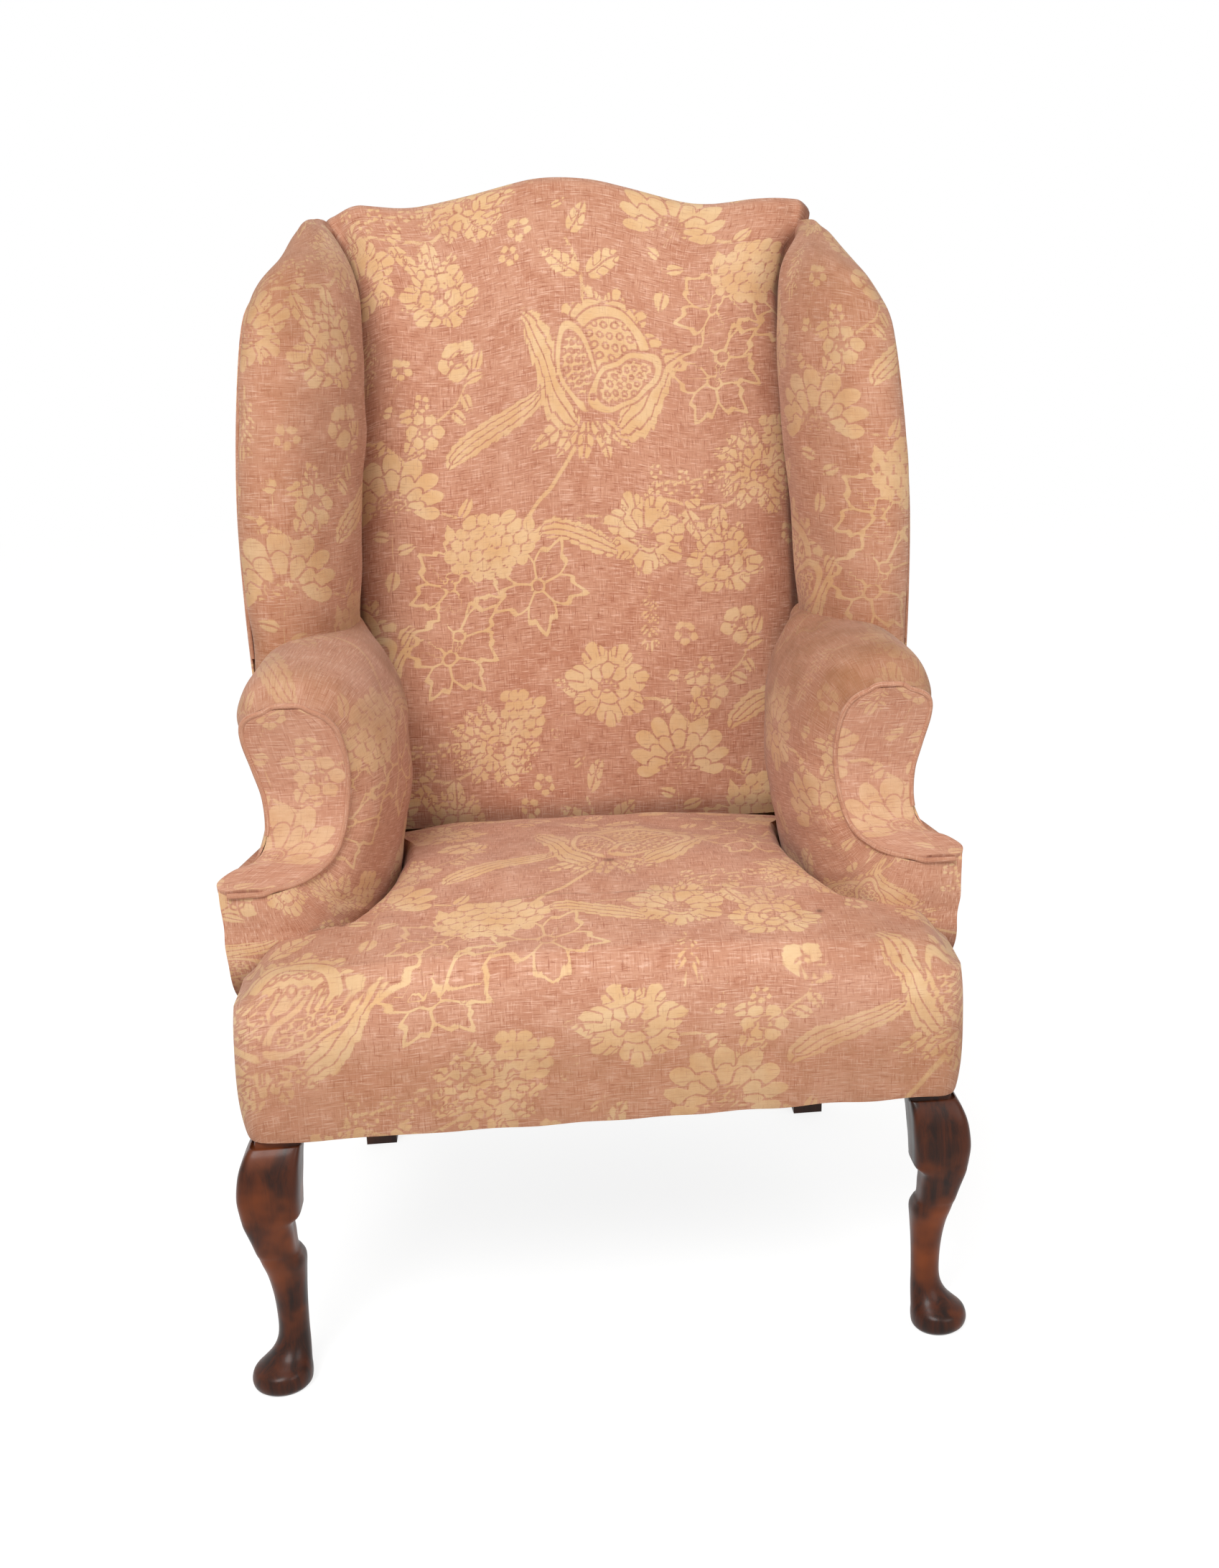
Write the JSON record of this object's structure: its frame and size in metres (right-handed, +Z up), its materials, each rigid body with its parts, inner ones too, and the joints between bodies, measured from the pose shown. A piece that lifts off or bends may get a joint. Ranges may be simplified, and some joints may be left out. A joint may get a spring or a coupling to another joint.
{
  "type": "upholstered wing armchair",
  "caption": "Old wing armchair with a serpentine crest, rolled arms, a sagging sprung seat and cabriole front legs.",
  "frame": {"origin": "floor level, midway between the outer faces of the chair's left, right, front and back extremes", "axes": "+Z up, the chair faces -Y, +X is the chair's side on the right as seen from the front"},
  "size_m": [0.7598, 0.68, 1.217],
  "materials": {
    "rose_damask": "worn floral linen and cotton damask over stuffing",
    "dark_walnut": "dark stained, satin polish, worn edges",
    "beech": "sawn frame timber",
    "jute": "woven webbing and hessian",
    "spring_steel": "dull coiled wire",
    "black_lining": "thin woven dust lining"
  },
  "bodies": {
    "root": {"inside_back_pad": "rose_damask", "seat_pad": "rose_damask", "outside_back_cover": "rose_damask", "arm_pad_left": "rose_damask", "arm_facing_left": "rose_damask", "arm_piping_left": "rose_damask", "wing_pad_left": "rose_damask", "wing_welt_left": "rose_damask", "outside_arm_cover_left": "rose_damask", "outside_wing_cover_left": "rose_damask", "arm_pad_right": "rose_damask", "arm_facing_right": "rose_damask", "arm_piping_right": "rose_damask", "wing_pad_right": "rose_damask", "wing_welt_right": "rose_damask", "outside_arm_cover_right": "rose_damask", "outside_wing_cover_right": "rose_damask", "front_leg_left": "dark_walnut", "front_leg_right": "dark_walnut", "front_seat_rail": "beech", "back_seat_rail": "beech", "back_stuffing_rail": "beech", "crest_rail": "beech", "side_seat_rail_left": "beech", "front_corner_block_left": "beech", "back_corner_block_left": "beech", "back_post_left": "beech", "arm_post_left": "beech", "arm_rail_left": "beech", "arm_stuffing_rail_left": "beech", "wing_post_left": "beech", "wing_rail_left": "beech", "side_seat_rail_right": "beech", "front_corner_block_right": "beech", "back_corner_block_right": "beech", "back_post_right": "beech", "arm_post_right": "beech", "arm_rail_right": "beech", "arm_stuffing_rail_right": "beech", "wing_post_right": "beech", "wing_rail_right": "beech", "seat_hessian": "jute", "webbing_long_1": "jute", "webbing_long_2": "jute", "webbing_long_3": "jute", "webbing_cross_1": "jute", "webbing_cross_2": "jute", "webbing_cross_3": "jute", "seat_spring_1": "spring_steel", "seat_spring_2": "spring_steel", "seat_spring_3": "spring_steel", "seat_spring_4": "spring_steel", "seat_spring_5": "spring_steel", "seat_spring_6": "spring_steel", "seat_spring_7": "spring_steel", "seat_spring_8": "spring_steel", "seat_spring_9": "spring_steel", "bottom_lining": "black_lining"}
  },
  "joints": []
}
